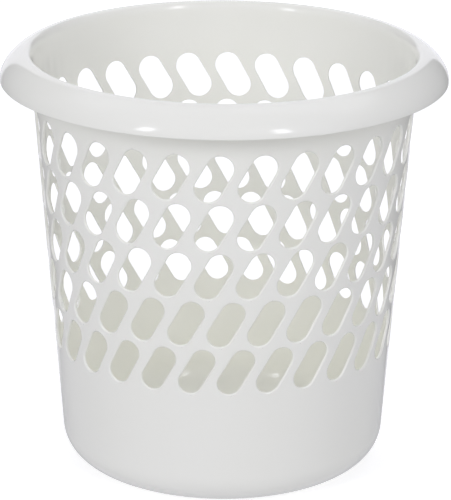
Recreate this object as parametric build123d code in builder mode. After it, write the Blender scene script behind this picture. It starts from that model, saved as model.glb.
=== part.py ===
"""Round office wastebasket, injection moulded in one piece.

A thin tapered wall with five rows of slanted slots, a rolled rim whose skirt
overhangs the wall, a rounded bottom corner and a floor with a raised middle.
The moulding is held as regions that meet face to face, one solid each.

Frame: origin at the centre of the face it stands on, +Z up, front towards -Y.
Sizes are in millimetres and angles in degrees.
"""
import os
from math import cos, pi, radians, tan

from build123d import *

# ---- driving dimensions -------------------------------------------------
height = 267.0            # floor to the crest of the rim
rim_radius = 140.0        # lower lip of the skirt, the widest point
skirt_overhang = 17.0     # from the crest out to the lip
skirt_drop = 17.3         # how far the lip hangs below the crest
crest_offset = 2.7        # from the wall, level with the lip, out to the crest
draft = 4.4               # slope of the wall
wall = 1.8                # thickness of the wall and of the rim

rim_round_height = 6.0    # height over which the wall rolls out to the crest
skirt_fullness = 0.40     # 0 is a straight chamfer, 0.55 is nearly a quarter ellipse
round_fullness = 0.55     # the same for the roll on the inside of the rim
crest_overlap = 4.0       # how far past its crest the crest region reaches

corner_radius = 22.0      # outside of the bottom corner
floor_thickness = 2.0
foot_width = 8.0          # flat ring that the basket stands on
panel_rise = 1.5          # the middle of the floor is this much off the ground
panel_slope_width = 4.0   # from the standing ring in to the raised middle
panel_round = 3.0         # rounds the two bends of that slope
corner_margin = 2.0       # plain wall above the end of the bottom corner

slots_per_row = 28
slot_tilt = 29.7          # slots lean to the right, seen from outside
slot_height = 29.1        # from top to bottom, measured upright
row_web = 2.35            # left between one row and the next
rib_width = 6.7           # left between one slot and the next
plain_band = 15.25        # wall left between the lip's level and the top row
row_turns = (0.0, 0.0, 0.0, 3.9, 7.2)   # how far each row is turned from the top one

# ---- derived sizes ------------------------------------------------------
crest_radius = rim_radius - skirt_overhang
body_radius = crest_radius - crest_offset        # outside of the wall, level with the lip
lip_height = height - skirt_drop
neck_height = height - rim_round_height
row_pitch = slot_height + row_web
slotted_top = lip_height - plain_band
slotted_bottom = slotted_top - row_pitch * len(row_turns)
wall_inset = wall / cos(radians(draft))          # the wall's thickness, measured level
corner_reach = corner_radius * tan(radians(45 - draft / 2))
corner_top = corner_reach * cos(radians(draft)) + corner_margin


def outer_radius(z):
    """Outside radius of the tapered wall at height z."""
    return body_radius - (lip_height - z) * tan(radians(draft))


def inner_radius(z):
    """Inside radius of the tapered wall at height z."""
    return outer_radius(z) - wall_inset


foot_outer_radius = outer_radius(0) - corner_reach
foot_inner_radius = foot_outer_radius - foot_width
panel_radius = foot_inner_radius - panel_slope_width


def bend(start, corner, end, fullness):
    """Curve from start to end, drawn towards the sharp corner between their tangents."""
    start, corner, end = Vector(*start), Vector(*corner), Vector(*end)
    Bezier(start, start + (corner - start) * fullness, end + (corner - end) * fullness, end)


def side_of_wall(radius_at, floor_side, bottom_corner_radius):
    """One face of the floor and wall, from the axis out and up to the neck."""
    FilletPolyline(
        (0, floor_side + panel_rise),
        (panel_radius, floor_side + panel_rise),
        (foot_inner_radius, floor_side),
        (radius_at(floor_side), floor_side),
        (radius_at(neck_height), neck_height),
        radius=[panel_round, panel_round, bottom_corner_radius],
    )


def rim_side(radius_at, crest_height, lip_radius):
    """One face of the rim, from the neck over the crest and down to the lip."""
    neck = (radius_at(neck_height), neck_height)
    crest = (crest_radius, crest_height)
    bend(neck, (radius_at(crest_height), crest_height), crest, round_fullness)
    bend(crest, (lip_radius, crest_height), (lip_radius, lip_height), skirt_fullness)


# ---- section of the whole moulding, from the axis to the lip -------------
with BuildSketch(Plane.XZ) as section:
    with BuildLine():
        side_of_wall(outer_radius, 0, corner_radius)
        rim_side(outer_radius, height - wall, rim_radius - wall)
        Line((rim_radius - wall, lip_height), (rim_radius, lip_height))
        rim_side(inner_radius, height, rim_radius)
        side_of_wall(inner_radius, floor_thickness, corner_radius - wall)
        Line((0, panel_rise), (0, panel_rise + floor_thickness))
    make_face()


def region(r_low, r_high, z_low, z_high):
    """Revolve the stretch of the section between two radii and two heights."""
    with BuildPart() as ring:
        with BuildSketch(Plane.XZ):
            add(section.sketch_local)
            with Locations(((r_low + r_high) / 2, (z_low + z_high) / 2)):
                Rectangle(r_high - r_low, z_high - z_low, mode=Mode.INTERSECT)
        revolve(axis=Axis.Z)
    return ring.part


def slotted_region(z_low, z_high, turn):
    """A ring of wall between two heights, with one row of slanted slots."""
    centre_height = (z_low + z_high) / 2
    radius = outer_radius(centre_height)
    slot_width = 2 * pi * radius / slots_per_row * cos(radians(slot_tilt)) - rib_width
    centre_distance = (slot_height - slot_width) / cos(radians(slot_tilt))
    cut_start = inner_radius(z_low) / 2
    front = Plane(origin=(0, -cut_start, centre_height), x_dir=(1, 0, 0), z_dir=(0, -1, 0))

    with BuildPart() as slot:
        with BuildSketch(front):
            SlotCenterToCenter(centre_distance, slot_width, rotation=90 - slot_tilt)
        extrude(amount=rim_radius - cut_start)

    with BuildPart() as ring:
        add(region(0, rim_radius, z_low, z_high))
        with PolarLocations(0, slots_per_row, start_angle=turn):
            add(slot.part, mode=Mode.SUBTRACT)
    return ring.part


# ---- the regions, from the rim down to the floor --------------------------
crest_limit = crest_radius + crest_overlap
regions = {
    "rim_skirt": region(crest_limit, rim_radius + wall, lip_height, height),
    "rim_crest": region(0, crest_limit, neck_height, height),
    "upper_band": region(0, crest_limit, slotted_top, neck_height),
}
for row, turn in enumerate(row_turns):
    row_top = slotted_top - row * row_pitch
    regions[f"slot_row_{row + 1}"] = slotted_region(row_top - row_pitch, row_top, turn)
regions["lower_band"] = region(0, rim_radius, corner_top, slotted_bottom)
regions["base_corner"] = region(foot_inner_radius, rim_radius, 0, corner_top)
regions["floor"] = region(0, foot_inner_radius, 0, corner_top)

os.makedirs("parts", exist_ok=True)
for name, solid in regions.items():
    solid.label = name
    export_step(solid, f"parts/{name}.step")
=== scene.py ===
"""Final looks of the moulded wastebasket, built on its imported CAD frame.

The basket is one moulding, held as the frame's regions. Each region gets a closed
mesh of its own with analytic normals, so that neighbours shade as one surface.
Lengths are in metres and angles in radians unless a comment says otherwise.
"""
from math import asin, atan, atan2, cos, pi, radians, sin, tan

import bpy
from mathutils import Matrix, Vector


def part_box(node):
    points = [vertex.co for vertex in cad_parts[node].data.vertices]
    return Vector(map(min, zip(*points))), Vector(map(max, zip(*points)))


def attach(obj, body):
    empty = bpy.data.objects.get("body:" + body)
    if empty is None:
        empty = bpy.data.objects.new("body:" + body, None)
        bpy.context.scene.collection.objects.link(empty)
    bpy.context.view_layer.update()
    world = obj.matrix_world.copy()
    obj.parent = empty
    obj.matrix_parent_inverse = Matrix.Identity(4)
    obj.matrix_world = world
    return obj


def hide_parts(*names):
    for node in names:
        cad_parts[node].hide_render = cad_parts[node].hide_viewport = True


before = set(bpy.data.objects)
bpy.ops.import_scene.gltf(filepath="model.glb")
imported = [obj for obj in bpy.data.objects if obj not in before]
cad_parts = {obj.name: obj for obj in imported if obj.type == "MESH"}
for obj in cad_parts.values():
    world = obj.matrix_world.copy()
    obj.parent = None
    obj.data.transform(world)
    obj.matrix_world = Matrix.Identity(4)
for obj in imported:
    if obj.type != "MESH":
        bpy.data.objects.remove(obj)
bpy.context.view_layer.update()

MM = 0.001

# ---- sizes that the frame's boxes don't give -------------------------------------------
WALL = 1.8 * MM                  # thickness of the moulding
FLOOR_THICKNESS = 2.0 * MM
CREST_OVERLAP = 4.0 * MM         # from the crest out to the edge of node rim_crest
SKIRT_FULLNESS = 0.40            # how square the skirt's curve is
ROUND_FULLNESS = 0.55            # and the roll inside the rim
LIP_ROUND = 0.5 * MM             # edges of the lip
CORNER_RADIUS = 22.0 * MM
FOOT_WIDTH = 8.0 * MM            # flat ring that the basket stands on
PANEL_RISE = 1.5 * MM            # raised middle of the floor
PANEL_SLOPE_WIDTH = 4.0 * MM
PANEL_ROUND = 3.0 * MM

SLOTS_PER_ROW = 28
SLOT_TILT = radians(29.7)
SLOT_HEIGHT = 29.1 * MM
RIB_WIDTH = 6.7 * MM
ROW_TURNS = [radians(turn) for turn in (0.0, 0.0, 0.0, 3.9, 7.2)]
OUTER_EDGE_ROUND = 1.15 * MM     # softly rounded slot edges, outside
INNER_EDGE_ROUND = 0.4 * MM      # and inside

# ---- mesh density ----------------------------------------------------------------------
STEPS_PER_SLOT = 12              # divisions of one slot's share of the circle
AROUND = SLOTS_PER_ROW * STEPS_PER_SLOT
LEAN_STEPS = 4                   # lean of a slot's share, from mid height to its top
ACUTE_STEPS, STRAIGHT_STEPS, OBTUSE_STEPS = 5, 6, 2
OUTER_ROUND_STEPS, INNER_ROUND_STEPS, FLAT_STEPS = 4, 2, 3
STRAIGHT_STEP = 5 * MM
BEND_STEPS = 24
DEGREES_PER_STEP = 5             # round the moulding's corners
LIP_DEGREES_PER_STEP = 15
DISC_SIDES = 128

SAME_PLACE = 1e-8                # points nearer than this are one point
UP = Vector((0, 0, 1))

# ---- looks -----------------------------------------------------------------------------
PLASTIC_PALE = (0.972, 0.972, 0.915, 1)
PLASTIC_CREAM = (0.968, 0.968, 0.903, 1)
PLASTIC_IOR = 1.49
GLOSS_RANGE = (0.05, 0.09)       # roughness, from the glossiest spots to the dullest
NOISE_RANGE = (0.3, 0.7)         # where most of a noise texture's values lie
TINT_NOISE = (14, 3)             # scale and detail of each noise
GLOSS_NOISE = (90, 4)
SKIN_NOISE = (700, 3)
FLOW_NOISE = (22, 1)
SKIN_BUMP = (0.25, 0.000008)     # strength and distance of the fine skin texture
FLOW_BUMP = (0.2, 0.0002)        # and of the moulding's slow waves
LIGHT_COLOUR = (0.98, 0.98, 1.04, 1)      # of every panel, slightly cool
FLOOR_ROUGHNESS = 0.9
FLOOR_SPECULAR = 0.1
FLOOR_GRAIN_SCALE = 8
FLOOR_GREY = (0.88, 0.88, 0.88, 1)
FLOOR_PALE = (0.90, 0.90, 0.90, 1)
LIGHT_BOUNCES = 16
DIFFUSE_BOUNCES = 12             # light goes round many times inside a white basket

FLOOR_RADIUS = 12.0              # its far edge stays outside every view
FLOOR_GLOW = 0.44                # brings the floor up to the white of the background

# Azimuth 0 is the front, and it grows to the right. Each panel has its azimuth, elevation,
# half width, half height and soft edge, all in degrees, and its brightness.
STUDIO_PANELS = [
    (-174.5, 19, 21.5, 26, 2, 1.12),      # white screen behind the basket
    (-174.5, -14.5, 21.5, 7.5, 2, 0.92),
    (-136, 12, 16, 33, 2, 0.29),          # dim sides
    (142, 12, 22, 33, 2, 0.20),
    (-90, 12, 30, 33, 6, 0.43),
    (90, 12, 30, 33, 6, 0.38),
    (-30, -5, 30, 16, 6, 0.60),           # front, low and high
    (30, -5, 30, 16, 6, 0.71),
    (-30, 28, 30, 17, 6, 0.50),
    (30, 28, 30, 17, 6, 0.78),
    (-45, 67.5, 45, 22.5, 6, 0.44),       # ceiling
    (45, 67.5, 45, 22.5, 6, 0.43),
    (-135, 67.5, 45, 22.5, 6, 0.90),
    (135, 67.5, 45, 22.5, 6, 1.16),
    (0, -55, 45, 34, 6, 0.50),            # from below
    (-90, -55, 45, 34, 6, 0.66),
    (90, -55, 45, 34, 6, 0.60),
    (180, -31, 45, 9, 3, 0.55),
    (180, -65, 45, 25, 3, 0.65),
    (-38, 25, 4.0, 9.5, 5, 7.5),          # highlights of the two lamps
    (33.5, 28, 4.2, 9.5, 5, 7.0),
]
# Each lamp has its azimuth and elevation in degrees, distance, width and height, and power.
KEY_LIGHTS = {
    "Key_Left": (-37, 26, 2.4, (0.42, 0.90), 4.4),
    "Key_Right": (35, 33, 2.4, (0.42, 0.90), 1.6),
}

CAMERA_LENS = 216                # the lens and sensor are in millimetres, as Blender has them
CAMERA_SENSOR = 36
CAMERA_DISTANCE = 1.9088
CAMERA_AZIMUTH = radians(2.79)   # round from the front, to the right
CAMERA_ELEVATION = radians(18.88)
CAMERA_ROLL = radians(0.354)
CAMERA_AIM_HEIGHT = 0.1349
CAMERA_AIM_SIDE = 0.0014         # aim's distance from the axis, to the right


# ---- sizes read from the frame ---------------------------------------------------------
def low(node):
    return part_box(node)[0].z


def high(node):
    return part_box(node)[1].z


def reach(node):
    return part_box(node)[1].x


rim_radius = reach("rim_skirt")
lip_height = low("rim_skirt")
crest_height = high("rim_crest")
crest_limit = reach("rim_crest")
crest_radius = crest_limit - CREST_OVERLAP
neck_height = low("rim_crest")
corner_top = high("base_corner")
corner_reach = reach("base_corner")
slope = (reach("upper_band") - corner_reach) / (neck_height - corner_top)
draft = atan(slope)
wall_inset = WALL / cos(draft)


def outer_radius(z):
    """Outside radius of the tapered wall at height z."""
    return corner_reach + (z - corner_top) * slope


def inner_radius(z):
    """Inside radius of the tapered wall at height z."""
    return outer_radius(z) - wall_inset


foot_outer_radius = outer_radius(0) - CORNER_RADIUS * tan(radians(45) - draft / 2)
foot_inner_radius = foot_outer_radius - FOOT_WIDTH
panel_radius = foot_inner_radius - PANEL_SLOPE_WIDTH


# ---- outlines, as lists of (r, z, normal r, normal z) ----------------------------------
def sample(r, z, normal_r, normal_z):
    length = (normal_r**2 + normal_z**2) ** 0.5
    return (r, z, normal_r / length, normal_z / length)


def facing(point, way):
    """A sample whose normal lies to the right of the way along."""
    return sample(point.x, point.y, way.y, -way.x)


def same_place(a, b):
    return abs(a[0] - b[0]) + abs(a[1] - b[1]) < SAME_PLACE


def joined(*paths):
    """One smooth outline from several, with each shared end kept once."""
    whole = []
    for path in paths:
        whole += path[1:] if whole and same_place(whole[-1], path[0]) else path
    return whole


def turned(path):
    """The same outline the other way along, facing the other way."""
    return [(r, z, -normal_r, -normal_z) for r, z, normal_r, normal_z in reversed(path)]


def run(start, end):
    """A straight run as samples about a step apart."""
    way = end - start
    if way.length < SAME_PLACE:
        return []
    count = max(1, round(way.length / STRAIGHT_STEP))
    return [facing(start.lerp(end, i / count), way) for i in range(count + 1)]


def rounded_line(points, radii, degrees_per_step=DEGREES_PER_STEP):
    """Straight runs through points, with each corner rounded to its radius."""
    points = [Vector(point) for point in points]
    paths = []
    start = points[0]
    for before, corner, after, radius in zip(points, points[1:], points[2:], radii):
        way_in = (corner - before).normalized()
        way_out = (after - corner).normalized()
        angle = way_in.angle(way_out)
        side = 1 if way_in.x * way_out.y > way_in.y * way_out.x else -1
        reach_back = radius * tan(angle / 2)
        to_centre = Vector((-way_in.y, way_in.x)) * side
        centre = corner - way_in * reach_back + to_centre * radius
        steps = max(2, round(angle / radians(degrees_per_step)))
        spins = [Matrix.Rotation(side * angle * i / steps, 2) for i in range(steps + 1)]
        paths.append(run(start, corner - way_in * reach_back))
        paths.append([facing(centre - spin @ to_centre * radius, spin @ way_in) for spin in spins])
        start = corner + way_out * reach_back
    paths.append(run(start, points[-1]))
    return joined(*[path for path in paths if path])


def bend(start, corner, end, fullness):
    """Cubic curve from start to end, drawn towards the corner between its tangents."""
    a, d = Vector(start), Vector(end)
    b, c = a.lerp(Vector(corner), fullness), d.lerp(Vector(corner), fullness)
    path = []
    for i in range(BEND_STEPS + 1):
        t = i / BEND_STEPS
        u = 1 - t
        point = u**3 * a + 3 * u * u * t * b + 3 * u * t * t * c + t**3 * d
        way = u * u * (b - a) + 2 * u * t * (c - b) + t * t * (d - c)
        path.append(facing(point, way))
    return path


def clipped(path, axis, lowest, highest):
    """The stretch of an outline between two radii (axis 0) or heights (axis 1)."""
    kept = []
    for here, after in zip(path, path[1:] + path[-1:]):
        if lowest - SAME_PLACE < here[axis] < highest + SAME_PLACE:
            kept.append(here)
        for limit in (lowest, highest):
            short, past = limit - here[axis], after[axis] - limit
            if min(abs(short), abs(past)) > SAME_PLACE and short * past > 0:
                share = short / (short + past)
                kept.append(sample(*[a + (b - a) * share for a, b in zip(here, after)]))
    return kept


def side_of_wall(radius_at, floor_side, bottom_corner_radius):
    """One face of the floor and wall, from the axis out and up to the neck."""
    return rounded_line(
        [(0, floor_side + PANEL_RISE),
         (panel_radius, floor_side + PANEL_RISE),
         (foot_inner_radius, floor_side),
         (radius_at(floor_side), floor_side),
         (radius_at(neck_height), neck_height)],
        [PANEL_ROUND, PANEL_ROUND, bottom_corner_radius])


def neck_roll(radius_at, top):
    """From the neck of the wall up and out to the crest."""
    start = (radius_at(neck_height), neck_height)
    return bend(start, (radius_at(top), top), (crest_radius, top), ROUND_FULLNESS)


def skirt_curve(top, edge_radius):
    """From the crest out and down to the lip's rounded edge."""
    end = (edge_radius, lip_height + LIP_ROUND)
    return bend((crest_radius, top), (edge_radius, top), end, SKIRT_FULLNESS)


outside = side_of_wall(outer_radius, 0, CORNER_RADIUS)
inside = turned(side_of_wall(inner_radius, FLOOR_THICKNESS, CORNER_RADIUS - WALL))
rim_under = joined(neck_roll(outer_radius, crest_height - WALL),
                   skirt_curve(crest_height - WALL, rim_radius - WALL))
rim_top = turned(joined(neck_roll(inner_radius, crest_height),
                        skirt_curve(crest_height, rim_radius)))
lip = rounded_line([(rim_radius - WALL, lip_height + LIP_ROUND), (rim_radius - WALL, lip_height),
                    (rim_radius, lip_height), (rim_radius, lip_height + LIP_ROUND)],
                   [LIP_ROUND, LIP_ROUND], LIP_DEGREES_PER_STEP)


# ---- meshes with analytic normals ------------------------------------------------------
class Skin:
    """Collects points and faces, with a normal for each corner of each face."""

    def __init__(self):
        self.points = []
        self.faces = []
        self.normals = []

    def point(self, place):
        self.points.append(place)
        return len(self.points) - 1

    def face(self, corners, normals):
        """Adds a face, leaving out corners that fall together."""
        keep = [i for i in range(len(corners)) if corners[i] not in corners[:i]]
        if len(keep) > 2:
            self.faces.append([corners[i] for i in keep])
            self.normals += [normals[i] for i in keep]

    def piece(self, name):
        mesh = bpy.data.meshes.new(name)
        mesh.from_pydata(self.points, [], self.faces)
        mesh.polygons.foreach_set("use_smooth", [True] * len(mesh.polygons))
        mesh.normals_split_custom_set(self.normals)
        made = bpy.data.objects.new(name, mesh)
        bpy.context.scene.collection.objects.link(made)
        return made


def radial(angle):
    """Level direction away from the axis. Angle 0 is the front, and it grows to the right."""
    return Vector((sin(angle), -cos(angle), 0))


def tangent(angle):
    """Level direction round the axis, towards larger angles."""
    return Vector((cos(angle), sin(angle), 0))


def lathe(name, *runs):
    """A closed solid of revolution. Each run is smooth, and the runs meet at edges."""
    skin = Skin()
    angles = [2 * pi * i / AROUND for i in range(AROUND)]
    rings = {}

    def ring(r, z):
        key = (round(r / SAME_PLACE), round(z / SAME_PLACE))
        if key not in rings and r < SAME_PLACE:
            rings[key] = [skin.point(UP * z)] * AROUND
        elif key not in rings:
            rings[key] = [skin.point(radial(angle) * r + UP * z) for angle in angles]
        return rings[key]

    def strip(here, after):
        ends = []
        for r, z, normal_r, normal_z in (here, after):
            ends.append((ring(r, z), [radial(angle) * normal_r + UP * normal_z for angle in angles]))
        (a, normals_a), (b, normals_b) = ends
        for i in range(AROUND):
            j = (i + 1) % AROUND
            skin.face([a[i], a[j], b[j], b[i]], [normals_a[i], normals_a[j], normals_b[j], normals_b[i]])

    for path, after in zip(runs, runs[1:] + runs[:1]):
        for here, there in zip(path, path[1:]):
            strip(here, there)
        start, end = Vector(path[-1][:2]), Vector(after[0][:2])
        if (end - start).length > SAME_PLACE and max(start.x, end.x) > SAME_PLACE:
            strip(facing(start, end - start), facing(end, end - start))
    return skin.piece(name)


# ---- a row of slots --------------------------------------------------------------------
# Each slot has a leaning share of the wall, as tall as its row. The mesh runs in rings
# from the share's edge on the outer face, through the slot, to its edge on the inner
# face. Places on a share's edge are counted by row and column from its top left corner.
SIDE_STEPS = ACUTE_STEPS + STRAIGHT_STEPS + OBTUSE_STEPS


def slot_outline(half_pitch, half_height, end_distance):
    """A slot's outline, clockwise from the top left, with matching places on its share's edge.

    Each entry has the foot (u, v) on the slot's middle line, the direction from there
    out to its edge, and the row and column of the matching place.
    """
    lean = LEAN_STEPS * 2 * half_pitch / STEPS_PER_SLOT
    top_end = Vector((sin(SLOT_TILT), cos(SLOT_TILT))) * end_distance
    to_side = Vector((cos(SLOT_TILT), -sin(SLOT_TILT)))
    to_left_corner = Vector((lean - half_pitch, half_height)) - top_end
    to_right_corner = Vector((lean + half_pitch, half_height)) - top_end

    def sweep(first, last, steps):
        start, end = atan2(first.x, first.y), atan2(last.x, last.y)
        turns = [start + (end - start) * i / steps for i in range(steps)]
        return [Vector((sin(turn), cos(turn))) for turn in turns]

    half = [(top_end, way) for way in sweep(to_left_corner, to_right_corner, STEPS_PER_SLOT)]
    half += [(top_end, way) for way in sweep(to_right_corner, to_side, ACUTE_STEPS)]
    half += [(top_end * (1 - 2 * i / STRAIGHT_STEPS), to_side) for i in range(STRAIGHT_STEPS)]
    half += [(-top_end, way) for way in sweep(to_side, -to_left_corner, OBTUSE_STEPS)]
    places = [(0, column) for column in range(STEPS_PER_SLOT)]
    places += [(row, STEPS_PER_SLOT) for row in range(SIDE_STEPS)]
    outline = [(foot, way, row, column) for (foot, way), (row, column) in zip(half, places)]
    return outline + [(-foot, -way, SIDE_STEPS - row, STEPS_PER_SLOT - column)
                      for foot, way, row, column in outline]


def edge_profile():
    """Steps round the edge of a slot, from the outer face through to the inner face.

    Each has the distance back from the slot, the depth, and the shares of the outer
    face's normal and of the direction into the slot that make up the normal.
    """
    steps = []
    for i in range(OUTER_ROUND_STEPS + 1):
        turn = radians(90) * i / OUTER_ROUND_STEPS
        steps.append((OUTER_EDGE_ROUND * (1 - sin(turn)), OUTER_EDGE_ROUND * (1 - cos(turn)),
                      cos(turn), sin(turn)))
    for i in range(INNER_ROUND_STEPS + 1):
        turn = radians(90) * i / INNER_ROUND_STEPS
        steps.append((INNER_EDGE_ROUND * (1 - cos(turn)),
                      wall_inset - INNER_EDGE_ROUND * (1 - sin(turn)),
                      -sin(turn), cos(turn)))
    return steps


def slotted_ring(node, name, row_turn):
    """The ring of wall in a node's place, with its slots, as a closed solid."""
    middle, half_height = (low(node) + high(node)) / 2, (high(node) - low(node)) / 2
    half_pitch = pi * outer_radius(middle) / SLOTS_PER_ROW
    slot_width = 2 * half_pitch * cos(SLOT_TILT) - RIB_WIDTH
    end_distance = (SLOT_HEIGHT - slot_width) / cos(SLOT_TILT) / 2
    outline = slot_outline(half_pitch, half_height, end_distance)
    profile = edge_profile()
    skin = Skin()
    edge_points = {}

    def slot_turn(slot):
        return row_turn + 2 * pi * slot / SLOTS_PER_ROW

    def wall_point(angle, z, depth):
        return skin.point(radial(angle) * (outer_radius(z) - depth) + UP * z)

    def wall_normal(angle):
        return radial(angle) * cos(draft) - UP * sin(draft)

    def on_edge(slot, row, column):
        """Angle and height of a place on the edge of a slot's share."""
        v = half_height * (1 - 2 * row / SIDE_STEPS)
        columns = column - STEPS_PER_SLOT / 2 + LEAN_STEPS * v / half_height
        return slot_turn(slot) + 2 * pi * columns / AROUND, middle + v

    def on_slot(slot, foot, way, back, depth):
        """Angle and height of a place round a slot, which is cut straight through."""
        spot = foot + way * (slot_width / 2 + back)
        z = middle + spot.y
        return slot_turn(slot) + asin(spot.x / (outer_radius(z) - depth)), z

    def edge_point(slot, row, column, depth):
        """A point on the edge of a share, made once for it and its neighbour."""
        key = ((slot * STEPS_PER_SLOT + column) % AROUND, row, depth)
        if key not in edge_points:
            edge_points[key] = wall_point(*on_edge(slot, row, column), depth)
        return edge_points[key]

    def edge_level(slot, depth, outward):
        return [(edge_point(slot, row, column, depth),
                 wall_normal(on_edge(slot, row, column)[0]) * outward)
                for foot, way, row, column in outline]

    def level_between(slot, share, back, depth, outward):
        """A level on a face, a share of the way from the slot to the edge of its share."""
        level = []
        for foot, way, row, column in outline:
            angle, z = on_slot(slot, foot, way, back, depth)
            far_angle, far_z = on_edge(slot, row, column)
            angle += (far_angle - angle) * share
            z += (far_z - z) * share
            level.append((wall_point(angle, z, depth), wall_normal(angle) * outward))
        return level

    def slot_level(slot, back, depth, face_share, slot_share):
        level = []
        for foot, way, row, column in outline:
            angle, z = on_slot(slot, foot, way, back, depth)
            into_slot = -(tangent(slot_turn(slot)) * way.x + UP * way.y)
            normal = wall_normal(angle) * face_share + into_slot * slot_share
            level.append((wall_point(angle, z, depth), normal.normalized()))
        return level

    for slot in range(SLOTS_PER_ROW):
        shares = [i / FLAT_STEPS for i in range(1, FLAT_STEPS)]
        levels = [edge_level(slot, 0, 1)]
        levels += [level_between(slot, share, profile[0][0], 0, 1) for share in reversed(shares)]
        levels += [slot_level(slot, *step) for step in profile]
        levels += [level_between(slot, share, profile[-1][0], wall_inset, -1) for share in shares]
        levels += [edge_level(slot, wall_inset, -1)]
        for outer, inner in zip(levels, levels[1:]):
            for i in range(len(outline)):
                j = (i + 1) % len(outline)
                corners = [outer[i], inner[i], inner[j], outer[j]]
                skin.face([point for point, normal in corners], [normal for point, normal in corners])
        for column in range(STEPS_PER_SLOT):
            top_edge = (0, 1, column, column + 1)
            bottom_edge = (SIDE_STEPS, -1, column + 1, column)
            for row, facing_up, left, right in (top_edge, bottom_edge):
                corners = [edge_point(slot, row, left, 0), edge_point(slot, row, right, 0),
                           edge_point(slot, row, right, wall_inset), edge_point(slot, row, left, wall_inset)]
                skin.face(corners, [UP * facing_up] * 4)
    return skin.piece(name)


# ---- the basket, region by region ------------------------------------------------------
def wall_ring(node, name):
    """A plain ring of the wall in a node's place."""
    return lathe(name, *[clipped(path, 1, low(node), high(node)) for path in (outside, inside)])


def beyond_foot(path):
    """The stretch of an outline from the foot's inner edge out and up to the plain wall."""
    return clipped(clipped(path, 0, foot_inner_radius, rim_radius), 1, 0, corner_top)


pieces = {
    "rim_skirt": lathe("Rim_Skirt", clipped(rim_under, 0, crest_limit, rim_radius), lip,
                       clipped(rim_top, 0, crest_limit, rim_radius)),
    "rim_crest": lathe("Rim_Crest", clipped(rim_under, 0, 0, crest_limit),
                       clipped(rim_top, 0, 0, crest_limit)),
    "base_corner": lathe("Base_Corner", beyond_foot(outside), beyond_foot(inside)),
    "floor": lathe("Floor", clipped(outside, 0, 0, foot_inner_radius),
                   clipped(inside, 0, 0, foot_inner_radius)),
}
for node, name in (("upper_band", "Upper_Band"), ("lower_band", "Lower_Band")):
    pieces[node] = wall_ring(node, name)
for number, row_turn in enumerate(ROW_TURNS, 1):
    pieces[f"slot_row_{number}"] = slotted_ring(f"slot_row_{number}", f"Slot_Row_{number}", row_turn)


# ---- material --------------------------------------------------------------------------
def moulded_plastic():
    """Glossy white polypropylene: a faint mottle, fine variation in gloss, a slight skin texture."""
    material = bpy.data.materials.new("White_Polypropylene")
    material.use_nodes = True
    nodes, links = material.node_tree.nodes, material.node_tree.links
    shader = nodes["Principled BSDF"]
    shader.inputs["IOR"].default_value = PLASTIC_IOR
    place = nodes.new("ShaderNodeTexCoord").outputs["Object"]

    def noise(scale, detail):
        node = nodes.new("ShaderNodeTexNoise")
        node.inputs["Scale"].default_value = scale
        node.inputs["Detail"].default_value = detail
        links.new(place, node.inputs["Vector"])
        return node.outputs["Fac"]

    def spread(value, lowest, highest):
        """A noise value, brought from its usual range to the one given."""
        node = nodes.new("ShaderNodeMapRange")
        node.inputs["From Min"].default_value = NOISE_RANGE[0]
        node.inputs["From Max"].default_value = NOISE_RANGE[1]
        node.inputs["To Min"].default_value = lowest
        node.inputs["To Max"].default_value = highest
        links.new(value, node.inputs["Value"])
        return node.outputs["Result"]

    tint = nodes.new("ShaderNodeMix")
    tint.data_type = "RGBA"
    tint.inputs["A"].default_value = PLASTIC_PALE
    tint.inputs["B"].default_value = PLASTIC_CREAM
    links.new(spread(noise(*TINT_NOISE), 0, 1), tint.inputs["Factor"])
    links.new(tint.outputs["Result"], shader.inputs["Base Color"])
    links.new(spread(noise(*GLOSS_NOISE), *GLOSS_RANGE), shader.inputs["Roughness"])

    def bump(height, strength, distance):
        node = nodes.new("ShaderNodeBump")
        node.inputs["Strength"].default_value = strength
        node.inputs["Distance"].default_value = distance
        links.new(height, node.inputs["Height"])
        return node

    skin_texture = bump(noise(*SKIN_NOISE), *SKIN_BUMP)
    flow = bump(noise(*FLOW_NOISE), *FLOW_BUMP)
    links.new(skin_texture.outputs["Normal"], flow.inputs["Normal"])
    links.new(flow.outputs["Normal"], shader.inputs["Normal"])
    return material


def pale_floor():
    """A plain white floor with a faint, even grain."""
    material = bpy.data.materials.new("Pale_Floor")
    material.use_nodes = True
    nodes, links = material.node_tree.nodes, material.node_tree.links
    shader = nodes["Principled BSDF"]
    shader.inputs["Roughness"].default_value = FLOOR_ROUGHNESS
    shader.inputs["Specular IOR Level"].default_value = FLOOR_SPECULAR
    shader.inputs["Emission Color"].default_value = (1, 1, 1, 1)
    shader.inputs["Emission Strength"].default_value = FLOOR_GLOW
    grain = nodes.new("ShaderNodeTexNoise")
    grain.inputs["Scale"].default_value = FLOOR_GRAIN_SCALE
    shade = nodes.new("ShaderNodeMix")
    shade.data_type = "RGBA"
    shade.inputs["A"].default_value = FLOOR_GREY
    shade.inputs["B"].default_value = FLOOR_PALE
    links.new(nodes.new("ShaderNodeTexCoord").outputs["Object"], grain.inputs["Vector"])
    links.new(grain.outputs["Fac"], shade.inputs["Factor"])
    links.new(shade.outputs["Result"], shader.inputs["Base Color"])
    return material


plastic = moulded_plastic()
for node, piece in pieces.items():
    piece.data.materials.append(plastic)
    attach(piece, "root")
    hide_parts(node)


# ---- studio ----------------------------------------------------------------------------
def disc(name, radius):
    """A level disc, facing up, at the height that the basket stands on."""
    mesh = bpy.data.meshes.new(name)
    corners = [radial(2 * pi * i / DISC_SIDES) * radius for i in range(DISC_SIDES)]
    mesh.from_pydata(corners, [], [range(DISC_SIDES)])
    made = bpy.data.objects.new(name, mesh)
    bpy.context.scene.collection.objects.link(made)
    return made


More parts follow.
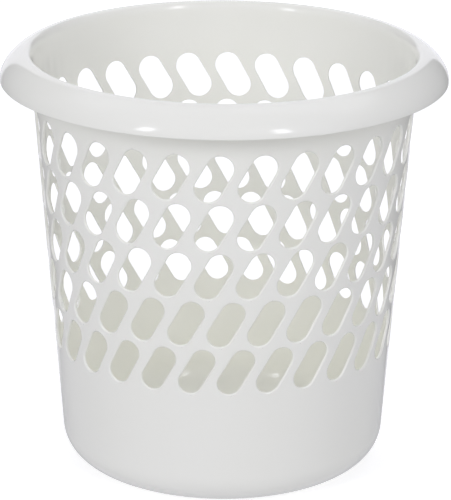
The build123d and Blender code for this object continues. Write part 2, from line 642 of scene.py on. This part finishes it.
def soft_light(name, place, aim, size, power):
    """A rectangular area light at a place, turned towards its aim."""
    lamp = bpy.data.lights.new(name, "AREA")
    lamp.shape = "RECTANGLE"
    lamp.size, lamp.size_y = size
    lamp.energy = power
    made = bpy.data.objects.new(name, lamp)
    made.location = place
    made.rotation_euler = (aim - place).to_track_quat("-Z", "Y").to_euler()
    bpy.context.scene.collection.objects.link(made)
    return made


def panelled_world(panels):
    """A studio's walls and ceiling as soft-edged panels of light.

    Each panel has the azimuth and elevation of its middle, its half width and half
    height, the width of its soft edge, all in degrees, and its brightness.
    """
    world = bpy.data.worlds.new("Studio")
    world.use_nodes = True
    nodes, links = world.node_tree.nodes, world.node_tree.links

    def calculate(operation, *values):
        node = nodes.new("ShaderNodeMath")
        node.operation = operation
        for socket, value in zip(node.inputs, values):
            if isinstance(value, bpy.types.NodeSocket):
                links.new(value, socket)
            else:
                socket.default_value = value
        return node.outputs["Value"]

    def within(distance, half, edge):
        """1 inside a half width, falling smoothly to 0 across the edge."""
        node = nodes.new("ShaderNodeMapRange")
        node.interpolation_type = "SMOOTHSTEP"
        node.inputs["From Min"].default_value = radians(half + edge / 2)
        node.inputs["From Max"].default_value = radians(half - edge / 2)
        links.new(distance, node.inputs["Value"])
        return node.outputs["Result"]

    split = nodes.new("ShaderNodeSeparateXYZ")
    links.new(nodes.new("ShaderNodeTexCoord").outputs["Generated"], split.inputs["Vector"])
    away = calculate("MULTIPLY", split.outputs["Y"], -1.0)
    azimuth = calculate("ARCTAN2", split.outputs["X"], away)
    elevation = calculate("ARCSINE", split.outputs["Z"])
    total = 0.0
    for azimuth_middle, elevation_middle, half_width, half_height, edge, brightness in panels:
        turn = calculate("WRAP", calculate("SUBTRACT", azimuth, radians(azimuth_middle)), -pi, pi)
        rise = calculate("SUBTRACT", elevation, radians(elevation_middle))
        across = within(calculate("ABSOLUTE", turn), half_width, edge)
        upright = within(calculate("ABSOLUTE", rise), half_height, edge)
        share = calculate("MULTIPLY", calculate("MULTIPLY", across, upright), brightness)
        total = calculate("ADD", share, total)
    background = nodes["Background"]
    background.inputs["Color"].default_value = LIGHT_COLOUR
    links.new(total, background.inputs["Strength"])
    return world


floor = disc("Floor_Plane", FLOOR_RADIUS)
floor.data.materials.append(pale_floor())
floor.visible_diffuse = False    # panels of light from below stand in for its bounce
floor.visible_shadow = False
floor.visible_glossy = False

scene = bpy.context.scene
scene.cycles.max_bounces = LIGHT_BOUNCES
scene.cycles.diffuse_bounces = DIFFUSE_BOUNCES
scene.cycles.use_denoising = True
scene.world = panelled_world(STUDIO_PANELS)
scene.view_settings.view_transform = "Standard"

for name, (azimuth, elevation, distance, size, power) in KEY_LIGHTS.items():
    azimuth, elevation = radians(azimuth), radians(elevation)
    place = (radial(azimuth) * cos(elevation) + UP * sin(elevation)) * distance
    lamp = soft_light(name, place, UP * lip_height / 2, size, power)
    lamp.visible_glossy = False      # the small panels in STUDIO_PANELS are the lamps' highlights

# ---- camera ----------------------------------------------------------------------------
back = radial(CAMERA_AZIMUTH) * cos(CAMERA_ELEVATION) + UP * sin(CAMERA_ELEVATION)
level = tangent(CAMERA_AZIMUTH)
upright = back.cross(level)
right = level * cos(CAMERA_ROLL) + upright * sin(CAMERA_ROLL)
above = upright * cos(CAMERA_ROLL) - level * sin(CAMERA_ROLL)
camera = bpy.data.objects.new("Camera", bpy.data.cameras.new("Camera"))
camera.data.lens = CAMERA_LENS
camera.data.sensor_width = CAMERA_SENSOR
camera.location = UP * CAMERA_AIM_HEIGHT + level * CAMERA_AIM_SIDE + back * CAMERA_DISTANCE
camera.rotation_euler = Matrix((right, above, back)).transposed().to_euler()
scene.collection.objects.link(camera)
scene.camera = camera
